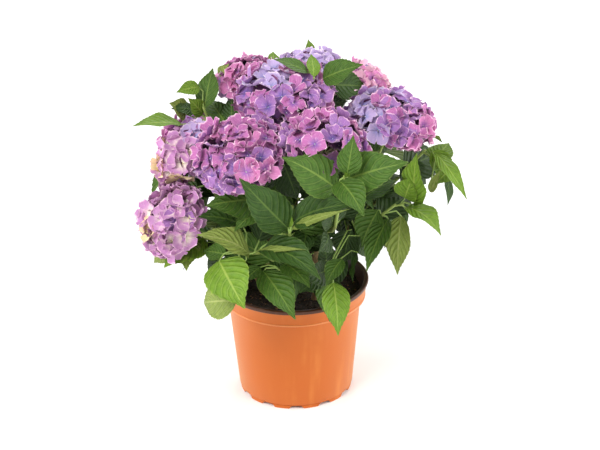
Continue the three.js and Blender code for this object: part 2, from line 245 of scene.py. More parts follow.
# Earth and soft stalks: two colours in clumps
tree, given, result = newGroup("earthSkin", ["Colour", "Second Colour"],
                               {"Grain Scale": 120.0, "Amount": 0.5}, ["Color", "Height"])
grain = speckle(objectPoint(), given["Grain Scale"], 5.0, 0.65)
share = times(ramp(grain, 0.45, 0.7), given["Amount"])
giveOut(Color=blend(share, given["Colour"], given["Second Colour"]), Height=grain)

# Canes and stems: fissured bark below, green above
tree, given, result = newGroup("limbSkin", ["Bark", "Green", "Fissure"],
                               {"Bark Top": 0.22, "Green Foot": 0.36}, ["Color", "Height"])
place = objectPoint()
height = newNode(tree, "SeparateXYZ", {"Vector": place}).outputs["Z"]
fibre = speckle(place, 420.0, 4.0, 0.6, (1, 1, 0.12))
patch = speckle(place, 55.0, 2.0)
rising = ramp(timesPlus(patch, 0.06, height), given["Bark Top"], given["Green Foot"])
barkTone = blend(ramp(fibre, 0.5, 0.72), given["Bark"], given["Fissure"])
greenTone = blend(times(patch, 0.35), given["Green"], given["Bark"])
giveOut(Color=blend(rising, barkTone, greenTone), Height=fibre)

# Leaf blade on its own sheet: the upper side in the left half, the underside in the right half
bladeSheet = {"upper": 0.25, "under": 0.75, "half": 0.24, "foot": 0.02, "length": 0.96, "sideVeins": 8.0}
tree, given, result = newGroup("leafVeins", ["Blade", "Shade", "Vein", "Underside"], {},
                               ["Color", "Roughness", "Height"])
sheet, across, along = sheetPoint()
isUnder = calc('GREATER_THAN', across, 0.5)
middleLine = timesPlus(isUnder, bladeSheet["under"] - bladeSheet["upper"], bladeSheet["upper"])
signed = calc('DIVIDE', minus(across, middleLine), bladeSheet["half"])
fromRib = calc('ABSOLUTE', signed)
leftSide = calc('LESS_THAN', signed, 0.0)
climb = times(fromRib, calc('ADD', fromRib, 1.5))
phase = minus(timesPlus(along, bladeSheet["sideVeins"], times(leftSide, 0.32)), climb)
toVein = calc('ABSOLUTE', minus(calc('FRACT', phase), 0.5))
sideVein = times(fade(toVein, 0.03, 0.14), fade(fromRib, 0.8, 1.0))
midrib = fade(fromRib, 0.025, 0.075)
net = newNode(tree, "TexVoronoi", {"Vector": sheet, "Scale": 34.0}, feature='DISTANCE_TO_EDGE')
fineVein = fade(net.outputs["Distance"], 0.0, 0.12)
veins = calc('MAXIMUM', times(sideVein, 0.30), times(midrib, 0.6))
veins = calc('MAXIMUM', veins, times(fineVein, 0.07))
mottle = speckle(sheet, 11.0, 4.0, 0.6)
# Shading mixes random mottling with painted shade that darkens the blade just beside each side vein, where
# the groove lies
shading = timesPlus(ramp(mottle, 0.3, 0.7), 0.6, times(fade(toVein, 0.10, 0.34), 0.40))
upper = blend(shading, given["Blade"], given["Shade"])
upper = blend(veins, upper, given["Vein"])
upper = blend(times(ramp(fromRib, 0.93, 1.0), 0.35), upper, given["Vein"])
lower = blend(times(mottle, 0.4), given["Underside"], given["Shade"])
lower = blend(times(veins, 0.8), lower, given["Vein"])
swell = times(ramp(toVein, 0.02, 0.42), calc('MINIMUM', times(fromRib, 4.0), 1.0))
giveOut(Color=blend(isUnder, upper, lower), Roughness=timesPlus(mottle, 0.16, 0.42),
        Height=timesPlus(fineVein, -0.14, swell))

# Petal on its own sheet: the claw at the foot of the sheet, the outer edge at its top
tree, given, result = newGroup("petalShade", ["Body", "Rim", "Heart", "Eye"], {"Heart Reach": 0.8},
                               ["Color", "Height"])
sheet, across, along = sheetPoint()
fromMiddle = times(calc('ABSOLUTE', minus(across, 0.5)), 2.0)
heartEdge = timesPlus(speckle(sheet, 5.0, 3.0, 0.6), 0.35, timesPlus(fromMiddle, 0.12, along))
# Toward the claw the body turns to the heart colour: its own bluer tone, in most kinds darkened as painted
# shade of the cupped middle
tone = blend(ramp(heartEdge, 0.22, given["Heart Reach"]), given["Heart"], given["Body"])
veil = speckle(sheet, 26.0, 2.0, 0.5, (1, 0.14, 1))
tone = blend(times(ramp(veil, 0.52, 0.7), 0.3), tone, given["Rim"])
tone = blend(ramp(calc('MAXIMUM', along, fromMiddle), 0.855, 0.965), tone, given["Rim"])
giveOut(Color=blend(calc('LESS_THAN', along, 0.06), tone, given["Eye"]), Height=veil)
print("shader groups are built")


# Finished pieces
def finishPiece(name, shape, materials, replaced, sharpAngle=None):
    bmesh.ops.scale(shape, vec=(metre, metre, metre), verts=shape.verts)
    mesh = keepPattern(name, shape)
    for material in materials:
        mesh.materials.append(material)
    mesh.shade_smooth()
    if sharpAngle:
        mesh.set_sharp_from_angle(angle=radians(sharpAngle))
    piece = addObject(name, mesh)
    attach(piece, "root")
    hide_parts(*replaced)


def keepPattern(name, shape):
    mesh = bpy.data.meshes.new(name)
    shape.to_mesh(mesh)
    shape.free()
    return mesh


def unwrap(faces, sheet, spotOf):
    for face in faces:
        for loop in face.loops:
            loop[sheet].uv = spotOf(loop)


def addPattern(shape, pattern):
    first = len(shape.verts)
    shape.from_mesh(pattern)
    shape.verts.ensure_lookup_table()
    return shape.verts[first:]


floorShape = bmesh.new()
bmesh.ops.create_grid(floorShape, x_segments=1, y_segments=1, size=studio["floorSize"])
floorMesh = keepPattern("floor", floorShape)
floorMaterial = newMaterial("paleFloor", 0.9)
floorMaterial.node_tree.nodes["Principled BSDF"].inputs["Base Color"].default_value = studio["floorColour"]
floorMesh.materials.append(floorMaterial)
floor = addObject("floor", floorMesh)

# Pot: a tapered body with a flared collar, a dark rim and inside, and a ring of feet
potSize = {
    "height": 180, "wall": 2.6, "footRadius": 86.5, "footHeight": 6, "floorHeight": 5, "archHeight": 4.8,
    "bodyTopRadius": 100.4, "bodyTopHeight": 150, "ridgeRadius": 107, "ridgeHeight": 152.6,
    "lipRadius": 112.5, "lipWidth": 7, "edgeRounding": 1.5, "bandHeight": 6.8, "footCount": 12, "steps": 192,
    "archFlat": 5, "archEdge": 7.6, "bead": 0.8, "sharpest": 18, "rounding": 0.35,
}
potSkins = [
    newMaterial("potPlastic", 0.4, "plasticSkin", [(184, 90, 22), (204, 120, 50), 0.42], 0.08,
                specular=0.3, sheen=0.4, sheenTint=(1, 0.62, 0.3, 1)),
    newMaterial("darkPlastic", 0.4, "plasticSkin", [(60, 34, 22), (92, 56, 36), 0.42], 0.08),
    newMaterial("bandPlastic", 0.4, "plasticSkin", [(70, 38, 20), (114, 70, 40), 0.36], 0.08, specular=0.3),
    # The bead's paler colours are a painted highlight along the ridge under the collar
    newMaterial("beadPlastic", 0.4, "plasticSkin", [(208, 122, 62), (230, 160, 104), 0.36], 0.05),
]


def spinProfile(profile, steps):
    shape = bmesh.new()
    corners = [shape.verts.new((radius, 0, height)) for radius, height in profile]
    lines = [shape.edges.new(pair) for pair in zip(corners, corners[1:])]
    bmesh.ops.spin(shape, geom=corners + lines, cent=(0, 0, 0), axis=(0, 0, 1), dvec=(0, 0, 0),
                   angle=2 * pi, steps=steps, use_merge=True)
    bmesh.ops.remove_doubles(shape, verts=shape.verts, dist=0.001)
    bmesh.ops.recalc_face_normals(shape, faces=shape.faces)
    return shape


def makePot(size):
    foot, top, lip, wall = size["footRadius"], size["bodyTopRadius"], size["lipRadius"], size["wall"]
    footTop, bodyTop, height = size["footHeight"], size["bodyTopHeight"], size["height"]
    ridge, ridgeFoot, bead = size["ridgeRadius"], size["ridgeHeight"], size["bead"]
    inside = size["floorHeight"] + wall
    bandFoot = height - size["bandHeight"]
    band = mix(ridge, lip, (bandFoot - ridgeFoot) / (height - ridgeFoot))
    shape = spinProfile([
        (0, size["floorHeight"]), (foot - 6, size["floorHeight"]), (foot - 5, 0), (foot - 1, 0),
        (foot - 1, footTop - 0.8), (foot - 1.8, footTop - 0.5), (foot - 1.8, footTop),
        (foot + 0.6, footTop + 0.8),
        (mix(foot, top, 0.33) + 0.4, mix(footTop, bodyTop, 0.33)),
        (mix(foot, top, 0.67) + 0.2, mix(footTop, bodyTop, 0.67)),
        (top, bodyTop), (ridge - 1, ridgeFoot - 1.2),
        (ridge + bead * 0.7, ridgeFoot - 0.9), (ridge + bead, ridgeFoot + 0.2),
        (ridge + bead * 0.6, ridgeFoot + 1.3), (ridge - 0.4, ridgeFoot + 1.8),
        (band - 0.9, bandFoot - 0.4), (band, bandFoot + 0.6),
        (lip, height - size["edgeRounding"]), (lip - size["edgeRounding"], height),
        (lip - size["lipWidth"], height - 1), (top - wall, bodyTop), (foot - wall, inside), (0, inside),
    ], size["steps"])
    spacing = 360 / size["footCount"]
    for vertex in shape.verts:
        if hypot(vertex.co.x, vertex.co.y) > foot - 7 and vertex.co.z < 0.01:
            turn = degrees(atan2(vertex.co.y, vertex.co.x)) % spacing
            share = (size["archEdge"] - min(turn, spacing - turn)) / (size["archEdge"] - size["archFlat"])
            vertex.co.z = size["archHeight"] * clamp(share)
    rings = []
    for edge in shape.edges:
        first, second = edge.verts
        level = abs(first.co.z - second.co.z) < 0.01 and len(edge.link_faces) == 2
        if level and first.co.z > 1 and edge.calc_face_angle() > radians(size["sharpest"]):
            rings.append(edge)
    bmesh.ops.bevel(shape, geom=rings, affect='EDGES', offset=size["rounding"], offset_type='OFFSET',
                    segments=3, profile=0.5, material=-1)
    for face in shape.faces:
        middle = face.calc_center_median()
        facesIn = face.normal.x * middle.x + face.normal.y * middle.y < 0
        if middle.z > bandFoot and not facesIn:
            face.material_index = 2
        # Faces of the bead take the paler plastic: a painted highlight line
        elif -0.4 < middle.z - ridgeFoot < 1.8 and not facesIn:
            face.material_index = 3
        elif middle.z > inside - 0.1 and (facesIn or hypot(middle.x, middle.y) < foot - wall - 1):
            face.material_index = 1
    return shape


finishPiece("pot_detailed", makePot(potSize), potSkins, ["pot"], 40)

# Compost: a rough surface below the lip, with crumbs and bark chips on it
soilSize = {"height": 160, "seam": 0.3, "ringSpacing": 4, "steps": 96, "relief": 2.4, "bareEdge": 5}
compost = newMaterial("compost", 0.95, "earthSkin", [(30, 22, 15), (74, 52, 36), 260.0, 0.7], 0.9, 0.002)
crumbEarth = newMaterial("crumbEarth", 0.95, "earthSkin", [(40, 29, 20), (88, 62, 42), 400.0, 0.8], 0.7)
chipBark = newMaterial("chipBark", 0.85, "earthSkin", [(108, 72, 44), (150, 110, 74), 500.0, 0.8], 0.6)


def soilLevel(x, y):
    humps = noise.noise(Vector((x * 0.045, y * 0.045, 0.3)))
    clods = noise.noise(Vector((x * 0.16, y * 0.16, 4.1)))
    return soilSize["height"] + soilSize["relief"] * (humps + 0.55 * clods)


def makeSoil(size):
    foot, top = potSize["footRadius"] - potSize["wall"], potSize["bodyTopRadius"] - potSize["wall"]
    inside = potSize["floorHeight"] + potSize["wall"] + size["seam"]
    climb = (size["height"] - potSize["bodyTopHeight"]) / (potSize["height"] - 1 - potSize["bodyTopHeight"])
    collar = mix(top, potSize["lipRadius"] - potSize["lipWidth"], climb)
    profile = [(0, inside), (foot - size["seam"], inside), (top - size["seam"], potSize["bodyTopHeight"])]
    rings = int(collar / size["ringSpacing"])
    for ring in range(rings + 1):
        profile.append(((collar - size["seam"]) * (rings - ring) / rings, size["height"]))
    shape = spinProfile(profile, size["steps"])
    for vertex in shape.verts:
        if vertex.co.z > size["height"] - 0.01:
            vertex.co.z = soilLevel(vertex.co.x, vertex.co.y)
    return shape, collar


def scatterLumps(count, seed, smallest, largest, flatness):
    rule = seededRule(seed)
    lump = bmesh.new()
    bmesh.ops.create_icosphere(lump, subdivisions=1, radius=1)
    for vertex in lump.verts:
        vertex.co *= 0.8 + 0.5 * noise.noise(vertex.co * 1.7)
    pattern = keepPattern("lump", lump)
    shape = bmesh.new()
    for _ in range(count):
        radius = (soilReach - soilSize["bareEdge"]) * sqrt(rule())
        angle = rule() * 2 * pi
        size = mix(smallest, largest, rule() ** 2)
        stretch = Matrix.Diagonal((size * (1 + rule()), size, size * flatness, 1))
        turn = Matrix.Rotation(rule() * 2 * pi, 4, 'Z') @ Matrix.Rotation((rule() - 0.5) * 1.6, 4, 'X')
        x, y = radius * cos(angle), radius * sin(angle)
        spot = Matrix.Translation((x, y, soilLevel(x, y) + size * flatness * 0.3))
        bmesh.ops.transform(shape, matrix=spot @ turn @ stretch, verts=addPattern(shape, pattern))
    return shape


soilShape, soilReach = makeSoil(soilSize)
finishPiece("soil_surface", soilShape, [compost], ["soil"], 60)
finishPiece("soil_crumbs", scatterLumps(620, 31, 0.9, 3.4, 0.75), [crumbEarth], ["soil"])
finishPiece("soil_chips", scatterLumps(170, 32, 0.8, 3.0, 0.4), [chipBark], ["soil"])
print("pot and soil are made")

# The plant's rule, with the sizes of its solids
seam = 0.3
limbSize = {"cane": 5.4, "bough": 3.9, "tip": 2.7, "stemTip": 1.7, "twigTip": 1.35, "stalk": 1.9,
            "stalkTip": 1.3, "splay": 0.006, "pull": 0.36}
leafSize = {"petiole": 20, "rootOffset": 0.8, "halfWidth": 0.28, "thickness": 0.72, "levelling": 0.5,
            "firstPair": 5, "spacing": 29, "stemFoot": 12, "young": 0.72, "youngRise": 14, "reach": 105,
            "atSolid": 0.3}
# The least and the most by which the leaves of the rule differ in heading, length, rise and droop
leafRange = {"heading": (-10, 10), "length": (0.9, 1.1), "rise": (-8, 8), "droop": (0.75, 1.25)}
twigSize = {"length": 48, "rise": 0.6, "pairs": [(0.96, 0.72), (0.5, 0.9)]}
headSize = {"height": 0.64, "depth": 0.40, "neck": 8}
# Ways that a leaf may turn to find room: more rise, more swing, its share of the length
tries = [(0, 0, 1), (10, 0, 1), (-10, 0, 1), (0, 18, 1), (0, -18, 1), (20, 0, 1), (-20, 0, 1),
         (12, 26, 0.9), (12, -26, 0.9), (-12, 26, 0.9), (-12, -26, 0.9), (36, 0, 0.85), (-32, 0, 0.85)]

# Each cane with its foot and the shoot that it leads to
canes = {
    "middle": ((4, 2), "top_front"), "front_left": ((-22, -38), "front_left"),
    "front_right": ((30, -36), "front_right"), "right": ((50, 2), "right"),
    "back_right": ((26, 40), "back_right"), "back_left": ((-24, 38), "back_left"),
    "left": ((-48, -4), "left_upper"),
}


# A shoot ends in a head of a radius or in young leaves, and grows on from its cane or from a fork in it
def shoot(name, place, toward, lean, radius=0, cane=None, fork=0, pairs=0, leaf=0, turn=0, rise=24, droop=52,
          twigs=0):
    return SimpleNamespace(name=name, place=Vector(place), toward=toward, lean=lean, radius=radius, cane=cane,
                           fork=fork, pairs=pairs, leaf=leaf, turn=turn, rise=rise, droop=droop, twigs=twigs)


shoots = [
    shoot("top_front", (-9, -42, 485), -90, 6, 68, pairs=3, leaf=92, turn=25),
    shoot("front_left", (-70, -138, 436), -125, 24, 63, pairs=3, leaf=96, turn=20),
    shoot("front_right", (48, -150, 456), -60, 22, 56, pairs=2, leaf=90, turn=60),
    shoot("right", (145, -40, 447), -5, 20, 62, pairs=3, leaf=92, turn=35),
    shoot("back_right", (128, 175, 350), 50, 40, 54, pairs=3, leaf=92, turn=10),
    shoot("back_left", (-148, 146, 352), 135, 38, 54, pairs=3, leaf=92, turn=40),
    shoot("left_upper", (-156, -22, 392), -170, 34, 54, pairs=2, leaf=88, turn=58),
    shoot("left_lower", (-172, -84, 312), -150, 55, 58, "left", 0.3, 2, 68, 45),
    shoot("top_right", (122, 98, 451), 30, 16, 46, "right", 0.62),
    shoot("top_back", (34, 92, 479), 90, 8, 54, "middle", 0.45),
    shoot("top_left", (-64, 86, 469), 140, 12, 44, "back_left", 0.55, 2, 88, 15),
    shoot("back", (-12, 218, 400), 95, 30, 56, "back_right", 0.5, 3, 94, 30),
    shoot("crown", (31, 27, 488), -60, 6, 0, "middle", 0.75, 3, 92, 176, rise=28),
    shoot("high_left", (-128, 30, 446), 165, 20, 0, "left", 0.6, 4, 100, 80, rise=36, droop=40),
    shoot("front", (71, -200, 431), -75, 26, 0, "front_right", 0.62, 4, 82, 84, rise=40, droop=36),
    shoot("front_middle", (-4, -182, 340), -88, 58, 0, "front_left", 0.5, 4, 94, 40, twigs=1),
    shoot("low_left", (-76, -154, 302), -112, 60, 0, "front_left", 0.22, 3, 92, 30),
    shoot("low_front", (-20, -136, 260), -96, 70, 0, "front_right", 0.1, 2, 88, 55, droop=76),
    shoot("low_right", (60, -134, 252), -74, 70, 0, "front_right", 0.24, 2, 88, 35, droop=76),
    shoot("side_right", (146, -100, 342), -36, 46, 0, "right", 0.36, 4, 88, 65, twigs=1),
    shoot("far_right", (196, 4, 382), 0, 42, 0, "right", 0.48, 4, 82, 20, droop=70),
    shoot("back_low_right", (148, 110, 262), 38, 62, 0, "back_right", 0.28, 3, 90, 50, twigs=1),
    shoot("back_low_left", (-112, 140, 262), 128, 62, 0, "back_left", 0.3, 3, 90, 35, twigs=1),
    shoot("side_left", (-138, 18, 268), 172, 60, 0, "left", 0.18, 3, 88, 45, twigs=1),
]
headed = [one for one in shoots if one.radius]
leafy = [one for one in shoots if one.pairs]
byName = {one.name: one for one in shoots}


def around(axis, angle):
    across = Vector((0, 1, 0)).cross(axis).normalized()
    return swung(across, axis.cross(across), angle)


# A bent limb between two places, then even steps along it
def limbPath(start, startDirection, end, endDirection, steps):
    pull = (end - start).length * limbSize["pull"]
    bends = (start, start + startDirection * pull, end - endDirection * pull, end)
    fine = []
    fineSteps = 200
    for k in range(fineSteps + 1):
        t = k / fineSteps
        weights = ((1 - t) ** 3, 3 * (1 - t) ** 2 * t, 3 * (1 - t) * t * t, t ** 3)
        fine.append(sum((bend * weight for bend, weight in zip(bends, weights)), Vector()))
    lengths = [0.0]
    for first, second in zip(fine, fine[1:]):
        lengths.append(lengths[-1] + (second - first).length)
    path = []
    k = 0
    for step in range(steps + 1):
        reach = lengths[-1] * step / steps
        while k < len(fine) - 2 and lengths[k + 1] < reach:
            k += 1
        path.append(fine[k].lerp(fine[k + 1], clamp((reach - lengths[k]) / (lengths[k + 1] - lengths[k]))))
    return path


for one in shoots:
    turn, tilt = radians(one.toward), radians(one.lean)
    axis = Vector((cos(turn) * sin(tilt), sin(turn) * sin(tilt), cos(tilt)))
    one.axis = axis
    one.top = one.place
    if one.radius:
        one.stalkStart = one.place - axis * (one.radius * headSize["depth"] + headSize["neck"])
        one.top = one.stalkStart - axis * seam
    length = 0
    if one.pairs:
        length = leafSize["firstPair"] + (one.pairs - 1) * leafSize["spacing"] + leafSize["stemFoot"]
    one.stemStart = one.top - axis * length
    one.limbEnd = one.stemStart - axis * (seam if one.pairs else 0)


# Round members: a ring pattern bent along a path, with relief
def tubePattern(sides, steps):
    shape = bmesh.new()
    bmesh.ops.create_cone(shape, cap_ends=True, segments=sides, radius1=1, radius2=1, depth=1)
    lengthwise = [edge for edge in shape.edges if abs(edge.verts[0].co.z - edge.verts[1].co.z) > 0.5]
    bmesh.ops.subdivide_edges(shape, edges=lengthwise, cuts=steps - 1, use_grid_fill=True)
    bmesh.ops.translate(shape, vec=(0, 0, 0.5), verts=shape.verts)
    return keepPattern("tube", shape)


tubePatterns = {}


def growTube(shape, path, radii, sides, relief=None):
    steps = len(path) - 1
    if (sides, steps) not in tubePatterns:
        tubePatterns[sides, steps] = tubePattern(sides, steps)
    tangents = [(path[min(k + 1, steps)] - path[max(k - 1, 0)]).normalized() for k in range(steps + 1)]
    across = tangents[0].orthogonal().normalized()
    frames = []
    for tangent in tangents:
        across = (across - tangent * across.dot(tangent)).normalized()
        frames.append((across, tangent.cross(across)))
    for vertex in addPattern(shape, tubePatterns[sides, steps]):
        k = round(vertex.co.z * steps)
        angle = atan2(vertex.co.y, vertex.co.x)
        radius = radii[k] + (relief(k, angle) if relief else 0)
        vertex.co = path[k] + swung(*frames[k], angle) * radius


# Stems: their steps and sides, and how far a knot reaches along them and swells them
stems = {"steps": 12, "sides": 8, "knot": 4, "swell": 0.8}


def growStem(shape, start, end, foot, tip, knots):
    length = (end - start).length
    path, radii = [], []
    for k in range(stems["steps"] + 1):
        share = k / stems["steps"]
        knotted = max((clamp(1 - abs(length * share - knot) / stems["knot"]) for knot in knots), default=0)
        path.append(start.lerp(end, share))
        radii.append(mix(limbSize[foot], limbSize[tip], share) + stems["swell"] * knotted)
    growTube(shape, path, radii, stems["sides"])


woodyCane = newMaterial("woodyCane", 0.8, "limbSkin",
                        [(128, 98, 66), (112, 132, 62), (66, 48, 32), 0.24, 0.38], 0.5, 0.0015)
greenStem = newMaterial("greenStem", 0.6, "limbSkin",
                        [(116, 120, 62), (138, 160, 76), (92, 92, 48), 0.2, 0.34], 0.3, 0.0008)
# Canes and boughs: their steps and sides, how much wider they are at the foot, how deep it is buried, the
# first node and the steps between nodes, the swelling there, the ridges in the bark and their seed
limbs = {
    "cane": {"steps": 48, "sides": 14, "flare": (0.9, 0.5), "buried": 5, "firstNode": 7, "spacing": 9,
             "swell": 0.75, "ridges": 0.55, "seed": 0, "shape": bmesh.new()},
    "bough": {"steps": 30, "sides": 10, "flare": (0, 0.8, 0.3), "buried": 0, "firstNode": 6, "spacing": 8,
              "swell": 0.6, "ridges": 0.35, "seed": 20, "shape": bmesh.new()},
}
limbPaths = {}


def growLimb(kind, name, index, start, startDirection, one):
    limb = limbs[kind]
    steps = limb["steps"]
    path = limbPath(start, startDirection, one.limbEnd, one.axis, steps)
    limbPaths[f"{kind}_{name}"] = path
    radii = [mix(limbSize[kind], limbSize["tip"], k / steps) for k in range(steps + 1)]
    if limb["buried"]:
        path = [start - startDirection * limb["buried"]] + path
        radii.insert(0, limbSize[kind])
    for k, wider in enumerate(limb["flare"]):
        radii[k] += wider
    nodes = range(limb["firstNode"] + index % 3, len(path), limb["spacing"])
    place = (index + limb["seed"]) * 3.7

    def barkRelief(k, angle):
        ring = max(1 - abs(k - node) / 1.2 for node in nodes)
        fluting = noise.noise(Vector((cos(angle) * 2.2, sin(angle) * 2.2, k * 0.16 + place)))
        return limb["swell"] * max(ring, 0) + limb["ridges"] * fluting

    growTube(limb["shape"], path, radii, limb["sides"], barkRelief)


for index, (name, (foot, leader)) in enumerate(canes.items()):
    outward = Vector((foot[0] * limbSize["splay"], foot[1] * limbSize["splay"], 1)).normalized()
    start = Vector((foot[0], foot[1], soilSize["height"] + seam))
    growLimb("cane", name, index, start, outward, byName[leader])
for index, one in enumerate(shoots):
    if one.cane:
        cane = limbPaths[f"cane_{one.cane}"]
        station = one.fork * (len(cane) - 1)
        k = min(int(station), len(cane) - 2)
        start = cane[k].lerp(cane[k + 1], station - k)
        rising = (cane[k + 1] - cane[k]).normalized()
        startDirection = (rising + (one.limbEnd - start).normalized()).normalized()
        growLimb("bough", one.name, index, start, startDirection, one)
for kind, limb in limbs.items():
    replaced = [name for name in limbPaths if kind in name]
    finishPiece(f"{kind}s_barked", limb["shape"], [woodyCane], replaced)
print("canes and boughs are made")

# Leaf blade: rows along it with their half widths, each tooth between two rows of the margin
blade = {
    "rows": [(0, 0.10), (0.06, 0.46), (0.16, 0.80), (0.28, 0.97), (0.41, 1.0), (0.55, 0.87), (0.69, 0.61),
             (0.84, 0.25), (1, 0)],
    "columns": 4, "tooth": 0.035, "toothLead": 0.012,
}


def bladePattern(size):
    rows = size["rows"]
    shape = bmesh.new()
    sheet = shape.loops.layers.uv.new("OFBake")
    bmesh.ops.create_grid(shape, x_segments=size["columns"], y_segments=len(rows) - 1, size=1)
    margin = [edge for edge in shape.edges if all(abs(vertex.co.x) > 0.99 for vertex in edge.verts)]
    bmesh.ops.bisect_edges(shape, edges=margin, cuts=3)
    spots = {}
    for vertex in shape.verts:
        station = (vertex.co.y + 1) / 2 * (len(rows) - 1)
        k = min(int(station + 0.001), len(rows) - 2)
        share = station - k
        along = mix(rows[k][0], rows[k + 1][0], share)
        half = mix(rows[k][1], rows[k + 1][1], share)
        toothed = abs(share % 0.5 - 0.25) < 0.01
        if abs(vertex.co.x) > 0.99 and toothed and half > 0.05:
            half += size["tooth"] * min(1, half * 2)
            along += size["toothLead"]
        spots[vertex] = (vertex.co.x, along)
        vertex.co = Vector((vertex.co.x * half, along, 0))
    # Long faces at the margin are split alike in both sheets, so that neither comes through the other
    ends = {vertex for vertex in shape.verts if spots[vertex][1] in (0, 1)}
    for face in shape.faces[:]:
        inside = [vertex for vertex in face.verts if abs(spots[vertex][0]) < 0.99]
        outside = [vertex for vertex in face.verts if abs(spots[vertex][0]) > 0.99]
        outside.sort(key=lambda vertex: spots[vertex][1])
        if len(outside) > 2 and outside[0] not in ends and outside[-1] not in ends:
            for vertex in inside:
                bmesh.ops.connect_vert_pair(shape, verts=[outside[2], vertex])
    unwrap(shape.faces, sheet, lambda loop: (bladeSheet["upper"] + bladeSheet["half"] * spots[loop.vert][0],
                                             bladeSheet["foot"] + bladeSheet["length"] * spots[loop.vert][1]))
    copied = bmesh.ops.duplicate(shape, geom=shape.verts[:] + shape.edges[:] + shape.faces[:])["geom"]
    under = [part for part in copied if isinstance(part, bmesh.types.BMFace)]
    bmesh.ops.reverse_faces(shape, faces=under)
    unwrap(under, sheet, lambda loop: loop[sheet].uv + Vector((bladeSheet["under"] - bladeSheet["upper"], 0)))
    inner = {vertex for face in under for vertex in face.verts if not vertex.is_boundary}
    bmesh.ops.translate(shape, vec=(0, 0, -1), verts=list(inner))
    bmesh.ops.remove_doubles(shape, verts=shape.verts, dist=0.0005)
    return keepPattern("blade", shape)


leafPattern = bladePattern(blade)
print("leaf pattern has", len(leafPattern.polygons), "faces")

# Blade, shade, vein and underside of each kind of leaf; the shade is mottling and painted shade in the
# grooves beside the veins
leafColours = {
    "dark": [(46, 69, 26), (27, 46, 18), (84, 108, 50), (88, 110, 60)],
    "deep": [(57, 86, 30), (34, 60, 22), (100, 126, 54), (106, 128, 70)],
    "mid": [(76, 109, 37), (50, 81, 27), (128, 152, 68), (128, 148, 82)],
    "fresh": [(118, 152, 44), (86, 124, 34), (170, 188, 90), (152, 170, 92)],
    "olive": [(136, 152, 70), (108, 128, 54), (182, 190, 116), (160, 168, 98)],
}


def pickFamily(shares, draw):
    for name, share in shares.items():
        draw -= share
        if draw <= 0:
            break
    return name


leafShapes = {name: bmesh.new() for name in leafColours}
petioleShape = bmesh.new()
stemShape = bmesh.new()
twigShape = bmesh.new()
grownLeaves = []
shownTrees = []
treesOverHeads = []
counts = {"leaves": 0, "skipped": 0, "twigs": 0}


def bladePoint(foot, along, face, length, droop, share):
    bend = droop * share
    return foot + along * (length / droop * sin(bend)) - face * (length / droop * (1 - cos(bend)))


# A coarse copy of each leaf, to keep others clear of it
def bladeOutline(foot, along, face, length, droop, width=1.0):
    side = face.cross(along) * (length * leafSize["halfWidth"] * width)
    points = [foot]
    for share, half in ((0.18, 0.8), (0.42, 1.0), (0.7, 0.65)):
        middle = bladePoint(foot, along, face, length, droop, share)
        points += [middle + side * half, middle - side * half]
    points.append(bladePoint(foot, along, face, length, droop, 1))
    faces = [(0, 1, 2), (1, 3, 4, 2), (3, 5, 6, 4), (5, 7, 6)]
    return points, points[3].lerp(points[4], 0.5), BVHTree.FromPolygons(points, faces)


def touchesLeaf(middle, tree):
    return any((other - middle).length < leafSize["reach"] and tree.overlap(otherTree)
               for other, otherTree in grownLeaves)


# How far a place is from the middle of a flattened dome: the radius of the dome that it lies on
def domeDistance(away, axis):
    height = away.dot(axis)
    tall = headSize["height"] if height > 0 else headSize["depth"]
    return hypot((away - axis * height).length, height / tall)


def insideHead(points, room):
    return any(domeDistance(point - one.place, one.axis) < one.radius * room
               for one in headed for point in points)


# The least and the most by which blades differ: their breadth, the fold along the rib, the height and number
# of the waves of the margin and where they begin, the twist, the curl and the sway to one side
bladeRange = {
    "breadth": (0.94, 1.08), "fold": (0.12, 0.42), "wave": (0.010, 0.038), "waves": (1.3, 2.5),
    "phase": (0, 6.28), "twist": (-0.35, 0.35), "curl": (-0.088, 0.132), "sway": (-0.08, 0.08),
}
# Petioles: their arch, sides and radii, the last ones for the rib, and where that runs under the blade
petioleSize = {"arch": 0.2, "sides": 5, "radii": (2.2, 1.6, 1.3, 1.35, 1.1, 0.85, 0.6, 0.3), "ribDepth": 0.9,
               "ribShares": (0.0, 0.2, 0.4, 0.6, 0.78)}


def growBlade(foot, along, face, length, droop, family, rule, width=1.0, flatness=1.0):
    own = drawOwn(bladeRange, rule)
    side = face.cross(along)
    halfWidth = length * leafSize["halfWidth"] * own.breadth * width
    fold, twist = own.fold * flatness, own.twist * flatness
    for vertex in addPattern(leafShapes[family], leafPattern):
        across, share, layer = vertex.co
        upward = swung(face, along, droop * share)
        turned = swung(side, upward, twist * share)
        upward = swung(upward, side, -twist * share)
        x = across * halfWidth
        phase = own.phase + 6.28 * own.waves * share + (1.1 if across > 0 else 0)
        rippled = length * own.wave * across * across * sin(phase)
        z = abs(x) * fold + rippled - own.curl * x * x / halfWidth + layer * leafSize["thickness"]
        middle = bladePoint(foot, along, face, length, droop, share)
        vertex.co = middle + turned * (x + own.sway * length * share * (1 - share)) + upward * z
    rib = []
    for share in petioleSize["ribShares"]:
        bow = side * (own.sway * length * share * (1 - share))
        below = swung(face, along, droop * share) * petioleSize["ribDepth"]
        rib.append(bladePoint(foot, along, face, length, droop, share) + bow - below)
    return rib


def growPetiole(start, rib, along, thickness):
    foot = rib[0]
    slack = (foot - start).length
    arch = start + skyward * (slack * petioleSize["arch"]) + (foot - start) * 0.3
    path = [start, start.lerp(arch, 0.75), (foot - along * slack * 0.3).lerp(arch, 0.4)]
    radii = [radius * thickness for radius in petioleSize["radii"]]
    growTube(petioleShape, path + rib, radii, petioleSize["sides"])


def cadTree(name):
    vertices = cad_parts[name].data.vertices
    tree = KDTree(len(vertices))
    for vertex in vertices:
        tree.insert(vertex.co / metre, vertex.index)
    tree.balance()
    return tree


# The first pair of a shoot is the freshest, the third and later ones are the darkest
leafMixes = [{"fresh": 0.4, "mid": 0.6}, {"fresh": 0.12, "mid": 0.38, "deep": 0.42, "olive": 0.08},
             {"mid": 0.2, "deep": 0.35, "dark": 0.45}]


